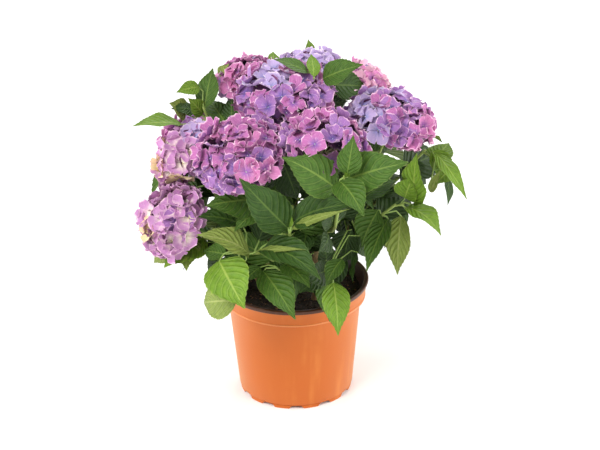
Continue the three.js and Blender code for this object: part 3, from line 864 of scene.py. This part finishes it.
def growPair(place, axis, turn, size, one, rule, pair, look, solid=None, room=1.0, shown=False):
    for side in (0, 180):
        own = drawOwn(leafRange, rule)
        heading = turn + side + own.heading
        fullLength = one.leaf * size * own.length
        fullRise = one.rise + (leafSize["youngRise"] if size < 1 else 0) + own.rise
        droop = radians(one.droop * own.droop)
        if shown:
            continue
        ways = []
        for tilt, swing, share in tries:
            outward = around(axis, radians(heading + swing))
            stalkWay = swung(outward, axis, radians(fullRise + tilt))
            level = skyward.cross(outward) * leafSize["levelling"]
            face = stalkWay.cross(axis.cross(outward) + level).normalized()
            ways.append((place + stalkWay * leafSize["petiole"], stalkWay, face, fullLength * share, droop))
        if solid:
            # Ways that end where a leaf of the solid ends come first
            ways.sort(key=lambda way: solid.find(bladePoint(*way, 1))[2] > leafSize["atSolid"])
        for way in ways:
            points, middle, tree = bladeOutline(*way)
            if insideHead(points[1:], room) or coversGap(points, middle):
                continue
            if any(hides(spot, shownTrees) for spot in points + [middle]) or touchesLeaf(middle, tree):
                continue
            rib = growBlade(*way, pickFamily(leafMixes[min(pair, 2)], look()), look)
            growPetiole(place + way[1] * leafSize["rootOffset"], rib, way[1], 1)
            grownLeaves.append((middle, tree))
            counts["leaves"] += 1
            break
        else:
            counts["skipped"] += 1


# Leaves that the photograph shows one by one, for each shoot: the pair, the foot and the tip as the camera
# sees them on the 600 x 450 picture, the length, below 0 where the tip is further off than the foot, the roll
# up from facing the camera, the droop, the colour, and the width where it isn't 1
shownLeaves = [
    ("front", [
        (0, 347, 175, 353.5, 135, 62, 6, 22, "mid"), (0, 339, 181, 364, 217, 74, 20, 48, "mid"),
        (1, 337, 189, 282, 157, 98, 14, 34, "mid"), (1, 346, 180, 409, 162, 100, 14, 34, "mid", 0.95),
        (1, 362, 200, 397, 181, -62, 40, 40, "deep"), (0, 347, 177, 344.5, 171.5, 11, 10, 20, "fresh", 0.7),
        (0, 348, 177, 350.5, 171.5, 11, 10, 20, "fresh", 0.7)]),
    ("front_left", [(0, 284, 165, 297, 199, -62, 10, 30, "dark", 1.3)]),
    ("front_middle", [
        (0, 288, 228, 239, 178, -106, 8, 32, "deep", 0.82),
        (0, 294, 222, 354, 204, 104, 30, 40, "deep", 0.85),
        (0, 292, 229, 350, 209, 112, 14, 40, "olive", 0.2),
        (0, 289, 227, 290.5, 211, 26, 10, 20, "fresh", 0.8),
        (1, 262, 250, 321, 280, 118, 38, 84, "deep", 0.8), (1, 255, 254, 307, 250, 92, 14, 60, "olive", 0.2),
        (1, 249, 254, 196, 235, 92, 44, 62, "olive", 0.9)]),
    ("front_left", [
        (1, 258, 199, 206, 206, 80, 12, 30, "mid", 1.3), (1, 262, 211, 234, 232, 60, 30, 50, "mid", 0.9)]),
    ("low_left", [
        (0, 219, 261, 245, 309, 86, 4, 44, "fresh", 1.35),
        (0, 237, 300, 204, 303, -66, 10, 76, "olive", 1.35),
        (1, 244, 262, 222, 248, -44, 30, 40, "deep", 1.2), (1, 226, 254, 203, 251, -42, 20, 30, "mid", 1.1),
        (1, 243, 226, 198, 217, 74, 40, 44, "deep")]),
    ("low_front", [
        (0, 263, 271, 295.5, 320, 94, 26, 36, "mid", 0.95), (0, 285, 264, 310, 288, 66, 30, 40, "mid"),
        (0, 260, 267, 243, 282, 34, 24, 40, "mid", 1.1)]),
    ("low_right", [
        (0, 333, 283, 338, 336, 80, 10, 36, "fresh", 0.88), (0, 342, 259, 326, 286, 48, 25, 40, "mid"),
        (1, 357, 252, 353, 283, 50, 60, 30, "deep", 0.7), (1, 351, 230, 345, 262, -62, 16, 30, "dark", 1.25),
        (1, 360, 236, 367, 258, -46, 16, 30, "dark", 1.1)]),
    ("left_lower", [
        (0, 190, 238, 186.5, 271, 56, 16, 36, "olive", 1.2),
        (0, 203, 238, 164, 268, 76, 24, 36, "fresh", 1.3),
        (0, 176, 240, 154, 263, -54, 20, 36, "olive", 1.3)]),
    ("side_right_twig", [
        (0, 406, 207.5, 441, 236, 72, 44, 66, "fresh", 0.95),
        (0, 416, 204, 417, 153, 88, 40, 26, "fresh", 0.9),
        (0, 405, 198, 413, 176, 42, 16, 30, "fresh", 1.5)]),
    ("side_right", [
        (1, 388, 219, 366.5, 272, 88, 30, 30, "mid", 0.74),
        (1, 401, 216, 397.5, 275, -88, 24, 36, "olive", 0.86),
        (1, 378, 210, 361, 248, -66, 20, 40, "mid", 1.2)]),
    ("far_right_twig", [
        (0, 434, 161, 449, 143, -44, 30, 30, "fresh", 1.6), (0, 435, 153, 467, 200, 92, 34, 40, "fresh", 0.5),
        (0, 453, 167, 435, 185, 46, 6, 30, "fresh", 1.4), (0, 432, 151, 452, 178, -54, 8, 34, "fresh", 1.1),
        (0, 447, 178, 447.5, 206, 48, 40, 40, "deep", 0.62),
        (0, 430, 192, 441, 169, 58, 20, 20, "olive", 0.42)]),
    ("far_right", [
        (1, 404, 170, 438, 154, -82, 8, 30, "dark", 1.25), (1, 400, 168, 426, 184, -60, 8, 30, "dark", 1.3)]),
    ("crown", [
        (0, 308, 72, 273, 59, 54, 56, 22, "mid", 0.95), (0, 314, 77, 311, 54, -50, 16, 20, "fresh", 0.65),
        (0, 323, 79, 363.5, 64.5, 70, 22, 34, "mid", 0.95), (1, 331, 85, 365, 86, -60, 10, 30, "deep", 1.25),
        (1, 321, 108, 348, 101, -46, 30, 30, "dark", 1.3)]),
    ("behind_top", [
        (0, 310, 55, 308, 39, 28, 30, 20, "fresh", 1.1), (0, 306, 60, 292, 55, -34, 30, 30, "mid")]),
    ("top_left", [
        (0, 221, 78, 229, 63.5, 34, 30, 40, "olive", 1.1), (0, 274, 66, 273, 51.5, -34, 30, 20, "fresh")]),
    ("high_left", [
        (0, 205, 108, 213, 68, -68, 24, 22, "mid", 0.95), (0, 199, 87, 176, 92.5, 40, 14, 30, "fresh", 0.95),
        (1, 186, 114, 169, 103, 38, 30, 30, "olive", 1.5), (1, 195, 111, 171, 109, 42, 46, 40, "deep"),
        (1, 181, 124, 132, 126.5, 78, 56, 22, "fresh", 0.72),
        (1, 203, 114, 188, 98, 40, 24, 40, "fresh", 1.2), (2, 226, 124, 208, 100, -66, 20, 24, "mid", 1.1),
        (2, 232, 122, 232, 94, -50, 26, 24, "deep")]),
]
# Pairs that the rule leaves out for them, and twigs that hold some of them: the shoot and its pair, the end
# on the picture and how much further off it is
shownPairs = {
    "front": (0, 1), "front_middle": (0, 1), "low_left": (0, 1), "low_front": (0,), "low_right": (0, 1),
    "left_lower": (0,), "side_right": (0, 1, "twig"), "far_right": (0, 1, 2), "crown": (0, 1),
    "high_left": (0, 1, 2),
}
shownTwigs = {
    "far_right_twig": ("far_right", 0, 438, 161, -14), "behind_top": ("top_back", 0, 309, 58, 44),
    "side_right_twig": ("side_right", 0, 404, 204, -8),
}
# Shown leaves that lie over the flower heads: their shoots, how wide they are at most, how far off they keep
overHeads = {"shoots": ("front", "front_middle", "crown"), "width": 1.2, "clearance": 8.5}
# Places on the picture that stay open, with their radius: the sky, and past the front leaves the soil, the
# rim and the stems
skyGaps = [
    (334, 114, 3), (297, 180, 2), (226, 257, 2), (372, 257, 5), (398, 185, 3), (200, 285, 8), (143, 189, 5),
    (209, 316, 3), (202, 273, 5), (423, 225, 4), (424, 203, 3), (418, 245, 6), (412, 262, 5), (412, 225, 4),
    (196, 264, 5), (206, 263, 3),
]
frontGaps = [(356, 272, 8), (253, 286, 7), (304, 297, 4), (338, 240, 5), (192, 196, 5), (312, 258, 4)]
picture = {"x": 300, "y": 225, "pitch": view["sensor"] / view["lens"] / 600}
eye = camera.matrix_world.translation / metre
turnFromView = camera.matrix_world.to_3x3()
turnToView = turnFromView.transposed()


def sightLine(x, y):
    across, rise = (x - picture["x"]) * picture["pitch"], (picture["y"] - y) * picture["pitch"]
    return (turnFromView @ Vector((across, rise, -1))).normalized()


def pictureSpot(point):
    seen = turnToView @ (point - eye)
    shrink = seen.z * picture["pitch"]
    return picture["x"] - seen.x / shrink, picture["y"] + seen.y / shrink


# Whether a point stands before one of some leaves, as the camera sees it
def hides(point, trees):
    away = point - eye
    hits = (tree.ray_cast(eye, away) for tree in trees)
    return any(hit[0] and hit[3] > away.length - 1 for hit in hits)


# How far the camera sees along a ray before it meets a flower head
def reachOverHeads(ray):
    nearest = 1e9
    squeeze = 1 / headSize["height"] - 1
    for one in headed:
        away = eye - one.place
        start = away + one.axis * (away.dot(one.axis) * squeeze)
        way = ray + one.axis * (ray.dot(one.axis) * squeeze)
        half = start.dot(way)
        inner = half * half - way.dot(way) * (start.dot(start) - (one.radius * 1.02) ** 2)
        if inner > 0:
            nearest = min(nearest, (-half - sqrt(inner)) / way.dot(way))
    return nearest - overHeads["clearance"]


def coversGap(points, middle):
    corners = [pictureSpot(points[k]) for k in (0, 1, 3, 5, 7, 6, 4, 2)]
    for x, y, radius in skyGaps + frontGaps * (middle.y < 0):
        if any(hypot(cornerX - x, cornerY - y) < radius for cornerX, cornerY in corners):
            return True
        for angle in range(0, 360, 60):
            spotX, spotY = x + radius * cos(radians(angle)), y + radius * sin(radians(angle))
            inside = False
            for (x1, y1), (x2, y2) in zip(corners, corners[1:] + corners[:1]):
                if (y1 > spotY) != (y2 > spotY) and spotX < mix(x1, x2, (spotY - y1) / (y2 - y1)):
                    inside = not inside
            if inside:
                return True
    return False


def nodePlace(one, pair):
    return one.top - one.axis * (leafSize["firstPair"] + pair * leafSize["spacing"])


# The place on a sight line that is a distance away from another place, or as near to it as the line passes
def seenPlace(x, y, other, distance, isOver):
    ray = sightLine(x, y)
    reach = (other - eye).dot(ray)
    miss = (eye + ray * reach - other).length
    reach -= copysign(sqrt(max(distance * distance - miss * miss, 0)), distance)
    return eye + ray * (min(reach, reachOverHeads(ray)) if isOver else reach)


def growShownLeaf(look, name, pair, footX, footY, tipX, tipY, length, roll, droop, family, width=1.0):
    isOver = name in overHeads["shoots"] and width < overHeads["width"]
    node = nodePlace(byName[name], pair)
    droop = radians(droop)
    foot = seenPlace(footX, footY, node, 0, isOver)
    tip = seenPlace(tipX, tipY, foot, length * sin(droop / 2) / (droop / 2), isOver)
    length = (tip - foot).length * (droop / 2) / sin(droop / 2)
    run = (tip - foot).normalized()
    sight = (eye - foot).normalized()
    facing = (sight - run * sight.dot(run)).normalized()
    lifted = run.cross(facing)
    if lifted.z < 0:
        lifted.negate()
    facing = swung(facing, lifted, radians(roll))
    along = swung(run, facing, droop / 2)
    face = swung(facing, run, -droop / 2)
    rib = growBlade(foot, along, face, length, droop, family, look, width, 0.8)
    growPetiole(node, rib, along, 0.9 if length > 50 else 0.7)
    points, middle, tree = bladeOutline(foot, along, face, length, droop, width)
    grownLeaves.append((middle, tree))
    shownTrees.append(tree)
    if isOver:
        treesOverHeads.append(tree)


look = seededRule(500)
for name, (parent, pair, x, y, further) in shownTwigs.items():
    node = nodePlace(byName[parent], pair)
    ray = sightLine(x, y)
    end = eye + ray * ((node - eye).dot(ray) + further)
    growStem(twigShape, node, end, "stemTip", "twigTip", [(end - node).length - 5])
    byName[name] = SimpleNamespace(top=end, axis=(end - node).normalized())
for name, leaves in shownLeaves:
    for leaf in leaves:
        growShownLeaf(look, name, *leaf)
for index, one in enumerate(leafy):
    rule = seededRule(100 + index)
    look = seededRule(700 + index)
    axis, top = one.axis, one.top
    shownHere = shownPairs.get(one.name, ())
    solid = cadTree(f"leaves_{one.name}")
    places = [leafSize["firstPair"] + pair * leafSize["spacing"] for pair in range(one.pairs)]
    length = (top - one.stemStart).length
    growStem(stemShape, one.limbEnd - axis, top + axis * (seam if one.radius else 0), "tip", "stemTip",
             [length - below for below in places])
    for pair, below in enumerate(places):
        size = leafSize["young"] if pair == 0 and not one.radius else 1
        growPair(top - axis * below, axis, one.turn + pair * 90, size, one, rule, pair, look, solid,
                 shown=pair in shownHere)
    for twig in range(0 if "twig" in shownHere else one.twigs):
        direction = around(axis, radians(one.turn + 45 + twig * 180)) + axis * twigSize["rise"]
        direction.normalize()
        start = top - axis * (leafSize["firstPair"] + leafSize["spacing"] * (1.5 + 0.3 * twig))
        end = start + direction * twigSize["length"]
        growStem(twigShape, start, end, "stemTip", "twigTip",
                 [share * twigSize["length"] for share, _ in twigSize["pairs"]])
        counts["twigs"] += 1
        for pair, (share, size) in enumerate(twigSize["pairs"], 1):
            place = start.lerp(end, share)
            growPair(place, direction, one.turn + 90 * share, size, one, rule, pair, look, solid)

# Leaves at the nodes of the canes and boughs, inside the crown
inner = SimpleNamespace(leaf=74, rise=34, droop=58, shares=(0.4, 0.55, 0.7, 0.85), lowest=215, room=1.02,
                        size=(0.8, 1.05))
look = seededRule(900)
for index, path in enumerate(limbPaths.values()):
    for step, share in enumerate(inner.shares):
        k = round(share * (len(path) - 1))
        if path[k].z > inner.lowest:
            axis = (path[k + 1] - path[k - 1]).normalized()
            rule = seededRule(1000 + 10 * index + step)
            size = mix(*inner.size, rule())
            growPair(path[k], axis, 90 * step + 37 * index, size, inner, rule, 3, look, room=inner.room)
print("leaves", counts)

leafNodes = [f"leaves_{one.name}" for one in leafy]
for name, colours in leafColours.items():
    skin = newMaterial(f"leaf_{name}", 0.48, "leafVeins", colours, 0.6, 0.002, specular=0.25)
    finishPiece(f"leaves_{name}", leafShapes[name], [skin], leafNodes, 75)
petiole = newMaterial("petioleSkin", 0.55, "earthSkin", [(140, 168, 82), (164, 182, 104), 90.0, 0.7], 0.2)
finishPiece("petioles", petioleShape, [petiole], leafNodes)
finishPiece("shoot_stems", stemShape, [greenStem], leafNodes)
finishPiece("side_twigs", twigShape, [greenStem], leafNodes)
print("leaves and stems are made")

# Florets: four cupped sepals round a small eye
sepal = {"rows": [(0.05, 0.10), (0.42, 0.46), (0.76, 0.60), (1.0, 0.30)], "columns": 4, "eye": 0.06}
florets = {
    "countedRadius": 58, "reach": 124, "golden": 137.508, "press": 0.65, "layers": [(54, 0.88), (18, 0.62)],
    "petalLift": (-0.35, 0.35),
}
# The least and the most by which florets differ: their size and seat, and their roll, cup and ruffle
seatRange = {"size": (15.05, 19.6), "seat": (0.93, 1.06)}
floretRange = {"roll": (0, 2 * pi), "cup": (-0.225, 0.525), "ruffle": (0.05, 0.15)}
# How the florets of some heads differ: their size, their number, how much they tilt, and the dome they fill
plainHabit = {"size": 1, "number": 1, "tilt": 0.95, "fill": 1, "shift": (0, 0, 0)}
headHabits = {
    "left_upper": {"size": 1.1, "number": 0.8, "tilt": 0.5, "fill": 0.94, "shift": (8, 0, 0)},
    "left_lower": {"size": 1.22, "number": 0.7, "tilt": 0.5, "fill": 0.89, "shift": (2, 0, 5)},
    "top_back": {"fill": 0.88, "shift": (-5, 0, -8)},
    "top_right": {"fill": 0.87, "shift": (-18, 0, 2)},
    "top_left": {"size": 1.12, "number": 0.92, "tilt": 0.4, "fill": 0.95, "shift": (2, 0, -2)},
    "right": {"fill": 0.98, "shift": (1, 0, -2)},
    # front_right has fewer florets so more of the shaded inner layer shows: painted shade
    "front_right": {"number": 0.8},
    "top_front": {"number": 0.92},
}


def floretPattern(size, broad, point, trough):
    rows = size["rows"]
    shape = bmesh.new()
    sheet = shape.loops.layers.uv.new("OFBake")
    for quarter in range(4):
        first = len(shape.verts)
        firstFace = len(shape.faces)
        bmesh.ops.create_grid(shape, x_segments=size["columns"], y_segments=len(rows) - 1, size=1)
        shape.verts.ensure_lookup_table()
        shape.faces.ensure_lookup_table()
        spots = {}
        for vertex in shape.verts[first:]:
            k = round((vertex.co.y + 1) / 2 * (len(rows) - 1))
            across = vertex.co.x
            along, half = rows[k]
            spots[vertex] = (0.5 + 0.47 * across, 0.12 + 0.85 * k / (len(rows) - 1))
            bulge = point if k == len(rows) - 1 else 0.02 * k
            lift = 0.05 * (quarter % 2) + 0.08 * along * along + trough * across * across * along
            vertex.co = Vector((across * half * broad, along + bulge * (1 - abs(across)), lift))
        unwrap(shape.faces[firstFace:], sheet, lambda loop: spots[loop.vert])
        bmesh.ops.rotate(shape, cent=(0, 0, 0), matrix=Matrix.Rotation(quarter * pi / 2, 3, 'Z'),
                         verts=shape.verts[first:])
    firstFace = len(shape.faces)
    bmesh.ops.create_cone(shape, cap_ends=True, segments=6, radius1=size["eye"], radius2=size["eye"] * 0.5,
                          depth=size["eye"], matrix=Matrix.Translation((0, 0, 0.06)))
    shape.faces.ensure_lookup_table()
    unwrap(shape.faces[firstFace:], sheet, lambda loop: (0.5, 0.02))
    return keepPattern("floret", shape)


floretPatterns = [floretPattern(sepal, 1.0, 0.15, 0.30), floretPattern(sepal, 1.08, 0.10, 0.36),
                  floretPattern(sepal, 0.92, 0.22, 0.24)]
print("floret pattern has", len(floretPatterns[0].polygons), "faces")

# Body, rim, heart and eye of each kind of petal, and how far out the heart reaches where it isn't the usual
# Most hearts are darker than the body: a bluer tone of their own with painted shade of the cupped middle
petalColours = {
    "magenta": [(178, 102, 160), (248, 206, 226), (110, 80, 156), (214, 214, 220)],
    "violet": [(158, 110, 172), (240, 198, 222), (96, 84, 158), (204, 210, 222)],
    "lilac": [(192, 170, 214), (238, 220, 232), (142, 146, 202), (228, 234, 226)],
    "pale": [(190, 134, 184), (238, 200, 218), (252, 246, 216), (236, 228, 150), 0.88],
    "pink": [(196, 118, 168), (248, 206, 228), (142, 96, 170), (226, 218, 222)],
    "blush": [(232, 178, 200), (252, 222, 228), (204, 160, 196), (240, 232, 220)],
    "cream": [(240, 218, 170), (240, 202, 190), (236, 228, 150), (208, 210, 116)],
    "shaded": [(98, 52, 92), (150, 92, 130), (62, 44, 90), (140, 130, 140)],
}
# The colours of each head and a patch of others on one. On some heads they follow each other across it, with
# a few out of place, and on the others they are mixed.
headColours = {
    "top_front": {"violet": 0.42, "magenta": 0.44, "pink": 0.14},
    "front_left": {"violet": 0.36, "magenta": 0.52, "pink": 0.12},
    # front_right leans to violet partly for its own colour and partly as painted shade from the head above it
    "front_right": {"violet": 0.46, "magenta": 0.42, "pink": 0.12},
    "right": {"lilac": 0.30, "violet": 0.26, "magenta": 0.24, "pink": 0.20},
    "back_right": {"lilac": 0.3, "violet": 0.4, "magenta": 0.3},
    "back_left": {"violet": 0.3, "magenta": 0.4, "pink": 0.3},
    "left_upper": {"cream": 0.15, "pale": 0.53, "lilac": 0.10, "violet": 0.22},
    "left_lower": {"cream": 0.13, "pale": 0.57, "violet": 0.30},
    "top_right": {"blush": 0.55, "pink": 0.35, "lilac": 0.10},
    "top_back": {"lilac": 1.0},
    "top_left": {"magenta": 0.24, "lilac": 0.16, "pink": 0.6},
    "back": {"lilac": 0.6, "violet": 0.25, "magenta": 0.15},
}
patch = {"head": "top_front", "way": (-0.42, -0.3, 0.8), "edge": 0.80,
         "colours": {"lilac": 0.74, "pale": 0.1, "cream": 0.16}}
headRuns = {"right": (1, 0, -0.2), "back_right": (1, 0, 0), "left_upper": (0.8, 0, 0.5),
            "left_lower": (0.9, 0, -0.25)}
petalShapes = {name: bmesh.new() for name in petalColours}
stalkShape = bmesh.new()
pedicelShape = bmesh.new()


def domeSpot(one, polar, turn, share):
    flat = around(one.axis, turn) * sin(polar)
    tall = headSize["height"] if cos(polar) > 0 else headSize["depth"]
    spot = one.bloomPlace + (flat + one.axis * (cos(polar) * tall)) * (one.bloomRadius * share)
    return spot, (flat + one.axis * (cos(polar) / tall)).normalized()


# Petals that stand out of the head's own dome are pressed back towards it
def pressIn(one, spot):
    away = spot - one.bloomPlace
    share = domeDistance(away, one.axis) / one.bloomRadius
    return one.bloomPlace + away * ((1 + (share - 1) * florets["press"]) / share) if share > 1 else spot


def growFloret(shape, one, seat, normal, size, tilt, rule):
    tilted = (normal + Vector((rule() - 0.5, rule() - 0.5, rule() - 0.35)) * tilt).normalized()
    own = drawOwn(floretRange, rule)
    petalLifts = [mix(*florets["petalLift"], rule()) for _ in range(4)]
    phase = rule() * 6.28
    for vertex in addPattern(shape, floretPatterns[int(rule() * 2.999)]):
        x, y, z = vertex.co
        far = x * x + y * y
        angle = atan2(y, x)
        rise = z + own.cup * far + own.ruffle * far * (sin(3 * angle + phase) + 0.5 * sin(7 * angle))
        rise += petalLifts[round(angle / (pi / 2)) % 4] * far
        spot = seat + around(tilted, own.roll + angle) * (sqrt(far) * size) + tilted * (rise * size)
        vertex.co = pressIn(one, spot)


floretCount = 0
for index, one in enumerate(headed):
    rule = seededRule(300 + index)
    axis, radius = one.axis, one.radius
    habit = {**plainHabit, **headHabits.get(one.name, {})}
    one.bloomRadius = radius * habit["fill"]
    one.bloomPlace = one.place + Vector(habit["shift"])
    crowd = (radius / florets["countedRadius"]) ** 1.7 * habit["number"]
    spread = 1 - cos(radians(florets["reach"]))
    growStem(stalkShape, one.stalkStart - axis, one.place - axis * (radius * 0.08), "stalk", "stalkTip", [])
    hub = one.place - axis * (radius * 0.3)
    for layer, (fullCount, seat) in enumerate(florets["layers"]):
        count = round(fullCount * crowd)
        for k in range(count):
            polar = acos(1 - ((k + 0.5) / count) * spread)
            turn = radians(k * florets["golden"] + 40 * layer) + (rule() - 0.5) * 0.25
            own = drawOwn(seatRange, rule)
            size = own.size * habit["size"]
            spot, normal = domeSpot(one, polar, turn, seat * own.seat)
            outward = (spot - one.bloomPlace).normalized()
            draw = rule()
            if one.name in headRuns:
                place = 0.5 + 0.5 * clamp(outward.dot(Vector(headRuns[one.name]).normalized()), -1, 1)
                draw = clamp(0.5 * place + 0.5 * draw, 0, 0.999)
            family = pickFamily(headColours[one.name], draw)
            if one.name == patch["head"] and outward.dot(Vector(patch["way"]).normalized()) > patch["edge"]:
                family = pickFamily(patch["colours"], rule())
            if layer:
                family = "shaded"
            rim = [spot] + [spot + around(normal, step * pi / 4) * size for step in range(8)]
            if any(hides(point, treesOverHeads) for point in rim):
                continue
            growFloret(petalShapes[family], one, spot, normal, size, habit["tilt"], rule)
            bend = hub.lerp(spot, 0.55) + axis * (radius * 0.05)
            growTube(pedicelShape, [hub, bend, spot + normal * 0.5], [0.9, 0.65, 0.5], 4)
            floretCount += 1
print("florets", floretCount)

headNodes = [f"head_{one.name}" for one in headed]
for name, colours in petalColours.items():
    skin = newMaterial(f"petal_{name}", 0.6, "petalShade", colours, 0.25, 0.0008, sheen=0.15, specular=0.3)
    finishPiece(f"florets_{name}", petalShapes[name], [skin], headNodes)
pedicelSkin = newMaterial("pedicelSkin", 0.6, "earthSkin", [(150, 150, 110), (170, 110, 140), 40.0, 1.0])
finishPiece("flower_stalks", stalkShape, [greenStem], headNodes)
finishPiece("floret_pedicels", pedicelShape, [pedicelSkin], headNodes)
print("flower heads are made")
